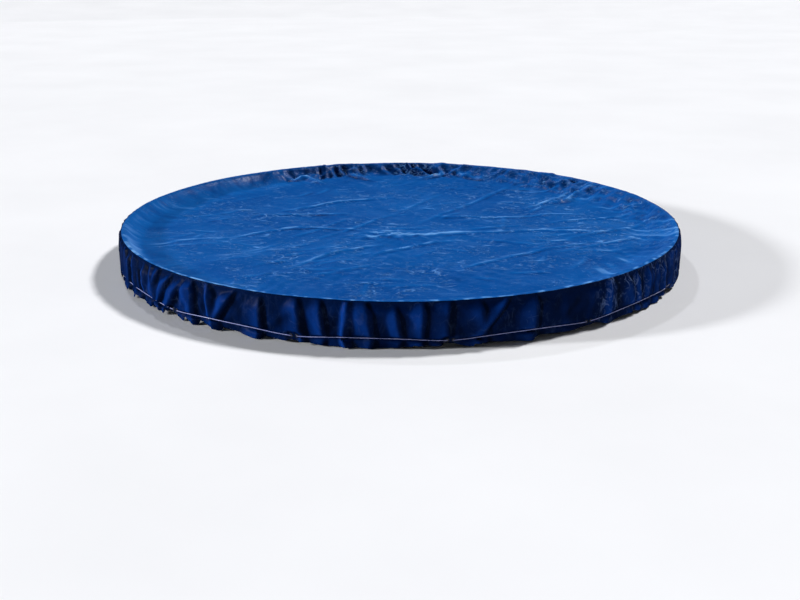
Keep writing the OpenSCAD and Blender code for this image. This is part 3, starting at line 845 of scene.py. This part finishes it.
def tarpaulin(name, look):
    # tape fabric woven from polyethylene and coated on both faces: a waxy, half-dull sheen on
    # fine crumples, with pale lines along the sharpest creases that are painted glints
    material, tree, shader, where = newMaterial(name)
    stretch = look["stretch"]
    # the first attribute holds painted light and shade, lighter where a spot stands out of the folds or is
    # turned to the light, with some tone at random; the second says how strongly the crease lines carry
    # painted glints
    paintedLightAndTone = addNode(tree, "ShaderNodeAttribute", attribute_name="paintedLightAndTone").outputs["Fac"]
    glintMask = addNode(tree, "ShaderNodeAttribute", attribute_name="glintMask").outputs["Fac"]
    drift = addNode(tree, "ShaderNodeMath", {0: noise(tree, where, 0.3, 3.0), 1: 0.2, 2: -0.1},
                    operation="MULTIPLY_ADD").outputs[0]
    tone = math2(tree, "ADD", paintedLightAndTone, drift)
    # the painted light and shade, with the random drift, become colour through these stops, from painted
    # shade to painted highlight
    colour = ramp(tree, tone, look["paintedLightRamp"])
    crease, wide, tall = look["crease"], stretch[0], stretch[2]
    lines = creaseLines(tree, where, crease * 2.2, 0.026, 32, (0.45 * wide, 1.3, tall), 1.3)
    more = creaseLines(tree, where, crease * 1.2, 0.034, -24, (0.5 * wide, 1.1, tall), 4.7)
    tiny = creaseLines(tree, where, crease * 0.6, 0.055, 70, (0.8 * wide, 1.2, tall), 9.1)
    patch = ramp(tree, noise(tree, where, 0.23, 3.0), [(0.44, 0.15), (0.64, 1.0)])
    drawn = math2(tree, "MAXIMUM", lines, math2(tree, "MAXIMUM", more, math2(tree, "MULTIPLY", tiny, 0.6)))
    # pale crease lines, patchy and masked: painted glints, also bumped as small ridges
    patchy = math2(tree, "MULTIPLY", math2(tree, "MULTIPLY", drawn, patch), glintMask)
    colour = mixed(tree, math2(tree, "MULTIPLY", patchy, look["glintStrength"]), colour, hexRgb(look["pale"]))
    tree.links.new(colour, shader.inputs["Base Color"])
    gloss = [(0.3, look["gloss"]), (0.75, look["gloss"] + 0.14)]
    tree.links.new(ramp(tree, noise(tree, where, 0.04, 5.0), gloss), shader.inputs["Roughness"])
    # the real tapes are about 2 mm wide, and are drawn at 5 mm so that they still show from some metres off
    weave = {"Vector": where, "Scale": 0.314 / 0.005}
    across = addNode(tree, "ShaderNodeTexWave", weave, bands_direction="X")
    along = addNode(tree, "ShaderNodeTexWave", weave, bands_direction=look["weaveAlong"])
    cloth = bump(tree, math2(tree, "MULTIPLY", across.outputs[1], along.outputs[1]), 0.00015, 0.2)
    grain = bump(tree, noise(tree, where, 0.02, 4.0, 0.6, stretch, 0.4), look["fineDepth"], 0.7, cloth)
    crumpled = noise(tree, where, 0.075, 4.0, 0.55, stretch, 1.2)
    crumple = bump(tree, crumpled, look["crumpleDepth"], 0.9, grain)
    ridge = bump(tree, patchy, look["ridge"], 1.0, crumple)
    tree.links.new(ridge, shader.inputs["Normal"])
    tree.links.new(ridge, shader.inputs["Coat Normal"])
    shader.inputs["Specular IOR Level"].default_value = 0.0
    shader.inputs["Coat Weight"].default_value = look["shine"]
    shader.inputs["Coat Roughness"].default_value = look["gloss"]
    shader.inputs["Coat IOR"].default_value = 1.5
    return material


def metal(name, colour, dark, gloss, grain, metallic=1.0, depth=0.00004):
    material, tree, shader, where = newMaterial(name)
    spots = noise(tree, where, grain, 5.0, 0.6)
    blotch = noise(tree, where, grain * 6, 3.0)
    tree.links.new(ramp(tree, math2(tree, "MULTIPLY", math2(tree, "ADD", spots, blotch), 0.5),
                        [(0.38, dark), (0.62, colour)]), shader.inputs["Base Color"])
    tree.links.new(ramp(tree, spots, [(0.3, gloss), (0.7, gloss + 0.15)]), shader.inputs["Roughness"])
    tree.links.new(bump(tree, spots, depth, 0.6), shader.inputs["Normal"])
    shader.inputs["Metallic"].default_value = metallic
    return material


def moulded(name, colour, patchy, gloss, grain, sheen=0.0):
    material, tree, shader, where = newMaterial(name)
    tone = noise(tree, where, grain * 12, 4.0)
    tree.links.new(ramp(tree, tone, [(0.35, colour), (0.8, patchy)]), shader.inputs["Base Color"])
    tree.links.new(ramp(tree, noise(tree, where, grain * 5), [(0.3, gloss), (0.7, gloss + 0.12)]),
                   shader.inputs["Roughness"])
    tree.links.new(bump(tree, noise(tree, where, grain, 3.0), grain * 0.06, 0.5), shader.inputs["Normal"])
    shader.inputs["Coat Weight"].default_value = sheen
    shader.inputs["IOR"].default_value = 1.5
    return material


materials = {
    "top": tarpaulin("wovenPolyethyleneTop", {
        "paintedLightRamp": [(0.0, "#011f4c"), (0.3, "#06488f"), (0.6, "#0f5ca6"), (1.0, "#6ba4e0")],
        "pale": "#6aa6ea", "crease": 0.06, "crumpleDepth": 0.0030, "fineDepth": 0.0010, "ridge": 0.007,
        "glintStrength": 0.65, "gloss": 0.30, "shine": 0.11, "stretch": (1, 1, 1), "weaveAlong": "Y",
    }),
    # the same fabric as the top, its colours darkened as painted shade, since the sides stand in shade
    "skirt": tarpaulin("wovenPolyethyleneSkirtPaintedShade", {
        "paintedLightRamp": [(0.15, "#000a22"), (0.5, "#011a49"), (0.95, "#08337c")],
        "pale": "#7d9ad6", "crease": 0.05, "crumpleDepth": 0.0030, "fineDepth": 0.0006, "ridge": 0.003,
        "glintStrength": 0.5, "gloss": 0.34, "shine": 0.025, "stretch": (1.6, 1.6, 0.55), "weaveAlong": "Z",
    }),
    # clear PVC over galvanised wire rope: pale, glossy, faintly lilac
    "cable": moulded("clearPvcOverWireRope", "#8e95d2", "#b3b9ea", 0.28, 0.0012, 0.4),
    # braided polypropylene, dull navy with a fuzzy surface
    "rope": moulded("braidedPolypropylene", "#0a1a44", "#14275a", 0.75, 0.0015),
    # pressed brass, blackened: dark and satin, with faint press marks
    "eyelet": metal("blackenedBrass", "#3a3c44", "#24262d", 0.34, 0.002),
    # pressed steel with bright zinc: pale grey-blue with faint cloudy spangle
    "zinc": metal("brightZincOnSteel", "#c3c7ca", "#94999e", 0.27, 0.004),
    # heat-blackened and oiled steel: near-black, with a low satin shine
    "blackSteel": metal("oilBlackedSteel", "#3d3f43", "#26272a", 0.34, 0.003, 0.9),
    # drawn aluminium sleeve, pressed flat in a die
    "ferrule": metal("pressedAluminium", "#c8cacb", "#a2a5a7", 0.32, 0.0015),
    # natural nylon, moulded: creamy and waxy
    "nylon": moulded("naturalNylon", "#d9d4c2", "#e6e1d2", 0.42, 0.0008),
    # soft black PVC, dipped: satin with small dimples
    "blackPvc": moulded("dippedBlackPvc", "#141416", "#26272a", 0.46, 0.0009),
}
print("materials made:", len(materials))

cadFinishes = {
    "zinc": ["winch_frame", "anchor_sleeve", "pawl_pin", "tee_bar", "loop_thimble", "shaft_clip",
             "pawl_spring", "head_pin"],
    "blackSteel": ["anchor_bolt", "anchor_nut", "drum", "ratchet_wheel", "pawl", "drive_head"],
    "ferrule": ["loop_ferrule"],
    "nylon": ["shaft_bushes"],
    "blackPvc": ["bar_caps", "cable_end_cap"],
}
for finish, names in cadFinishes.items():
    for nodeName in names:
        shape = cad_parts[nodeName]
        shape.data.materials.clear()
        shape.data.materials.append(materials[finish])
print("frame pieces finished")

flat, topFaces = topRings()
topZ, topPaintedStrips = topShape(flat[:, 0], flat[:, 1])
topPoints = np.column_stack([flat, topZ])
sheetTop = place(makeMesh("sheetTop", topPoints, topFaces), materials["top"])
# painted light and shade on the top sheet, and where painted glints go
mark(sheetTop, "paintedLightAndTone", topPaintedLight(sheetTop.data, topPaintedStrips))
mark(sheetTop, "glintMask", topPaintedGlints(topPoints))
sheetTop = thicken(sheetTop, topSheet["thickness"])
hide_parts("sheet_centre", "sheet_slope", "sheet_rim")
print("top sheet made:", len(sheetTop.data.polygons), "faces")

skirtPoints, skirtFaces, holeRow, skirtRows = makeSkirt()
sheetSkirt = place(makeMesh("sheetSkirt", skirtPoints, skirtFaces), materials["skirt"])
# painted light and shade on the skirt's pleats, and where painted glints go
mark(sheetSkirt, "paintedLightAndTone", skirtPaintedLight(skirtPoints))
mark(sheetSkirt, "glintMask", skirtPaintedGlints(skirtPoints))
sheetSkirt = thicken(sheetSkirt, skirt["thickness"])
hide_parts("sheet_skirt")
hemPoints, hemFaces = makeHem(skirtRows, holeRow)
# the turned-up layer has no painted-light values, so it takes the darkest painted shade of the skirt's
# colours
hemTurnUp = thicken(place(makeMesh("hemTurnUp", hemPoints, hemFaces), materials["skirt"]), skirt["thickness"])
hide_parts("hem_band")
print("skirt and hem made:", len(sheetSkirt.data.polygons), "and", len(hemTurnUp.data.polygons), "faces")

rope = {
    "thickness": 0.0010,
    "sides": 6,
    "inward": 0.00145,  # from the skirt's outer face
    "above": 0.0028,  # the hem's edge
}
low = skirtRows[-1]
lowR = np.hypot(low[:, 0], low[:, 1])
# the rope keeps to the highest edge near it, so that it never looks out under a corner
highest = np.max([np.roll(low[:, 2], k) for k in range(-5, 6)], axis=0)
ropeLine = np.column_stack([low[:, :2] * ((lowR - rope["inward"]) / lowR)[:, None], highest + rope["above"]])
hemRope = makeTube("hemRope", ropeLine, rope["thickness"], rope["sides"], materials["rope"], cyclic=True)
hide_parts("hem_rope")
tieCable = makeTube("tieCable", cableRoute(), 2 * cable["radius"], 12, materials["cable"])
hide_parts("tie_cable")
eyeletRings = makeEyelets("eyeletRings", ("flange", "barrel"), materials["eyelet"])
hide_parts("eyelets")
eyeletBacks = makeEyelets("eyeletBacks", ("washer",), materials["eyelet"])
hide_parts("eyelet_washers")
print("rope, cable and eyelets made")

for piece, slotName in ((sheetTop, "tarpaulin"), (sheetSkirt, "tarpaulin"), (hemTurnUp, "tarpaulin"),
                        (hemRope, "hem_rope"), (tieCable, "cable_coating"), (eyeletRings, "eyelet_metal"),
                        (eyeletBacks, "eyelet_metal")):
    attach(piece, "root")

groundLevel = float(low[:, 2].min()) - 0.0015


def makeFloor():
    # radius and rise: far off, the floor goes up like a studio's paper sweep
    sweep = [(25, 0), (32, 0.6), (40, 2.0), (120, 19)]
    sides = 48
    points = [(0, 0, groundLevel)]
    for r, up in sweep:
        points += [(r * math.sin(2 * math.pi * i / sides), -r * math.cos(2 * math.pi * i / sides),
                    groundLevel + up) for i in range(sides)]
    faces = [(0, 1 + i, 1 + (i + 1) % sides) for i in range(sides)]
    for ring in range(len(sweep) - 1):
        a, b = 1 + ring * sides, 1 + (ring + 1) * sides
        faces += [(a + i, b + i, b + (i + 1) % sides, a + (i + 1) % sides) for i in range(sides)]
    mesh = makeMesh("floor", points, faces)
    material, tree, shader, where = newMaterial("palePaintedFloor")
    tree.links.new(ramp(tree, noise(tree, where, 1.5, 4.0), [(0.3, "#efefee"), (0.7, "#f4f4f3")]),
                   shader.inputs["Base Color"])
    shader.inputs["Roughness"].default_value = 0.85
    shader.inputs["Specular IOR Level"].default_value = 0.2
    floor = place(mesh, material)


def distantLight(name, azimuth, elevation, strength, softness, colour):  # azimuth 0 is behind, 90 right
    data = bpy.data.lights.new(name, "SUN")
    data.energy, data.angle, data.color = strength, math.radians(softness), hexRgb(colour)[:3]
    lamp = bpy.data.objects.new(name, data)
    a, e = math.radians(azimuth) - viewTurn, math.radians(elevation)
    towards = Vector((math.sin(a) * math.cos(e), math.cos(a) * math.cos(e), math.sin(e)))
    lamp.rotation_euler = towards.to_track_quat("Z", "Y").to_euler()
    bpy.context.scene.collection.objects.link(lamp)


view = {
    "away": 6.6456,
    "height": 1.6484,
    "down": math.radians(18.53),
    "lens": 47.2,
    "sensor": 36.0,
}


def makeCamera():
    away, height, down = view["away"], view["height"], view["down"]
    data = bpy.data.cameras.new("camera")
    data.lens = view["lens"]
    data.sensor_width = view["sensor"]
    camera = bpy.data.objects.new("camera", data)
    camera.location = (away * math.sin(viewTurn), -away * math.cos(viewTurn), height)
    camera.rotation_euler = (math.pi / 2 - down, 0, viewTurn)
    bpy.context.scene.collection.objects.link(camera)
    bpy.context.scene.camera = camera


makeFloor()
makeCamera()
# a soft light high behind on the right, one raking the skirt from the left, and a small one high behind
distantLight("keyRight", 50, 50, 2.7, 8, "#fbfbff")
distantLight("rakingLeft", 262, 17, 3.1, 6, "#f8faff")
distantLight("highBack", 340, 46, 0.5, 3, "#f0f4ff")
world = bpy.data.worlds.new("studio")
world.use_nodes = True
world.node_tree.nodes["Background"].inputs[0].default_value = hexRgb("#e4e9f0")
world.node_tree.nodes["Background"].inputs[1].default_value = 0.05
bpy.context.scene.view_settings.view_transform = "Standard"
bpy.context.scene.world = world
print("floor, lights and camera made")
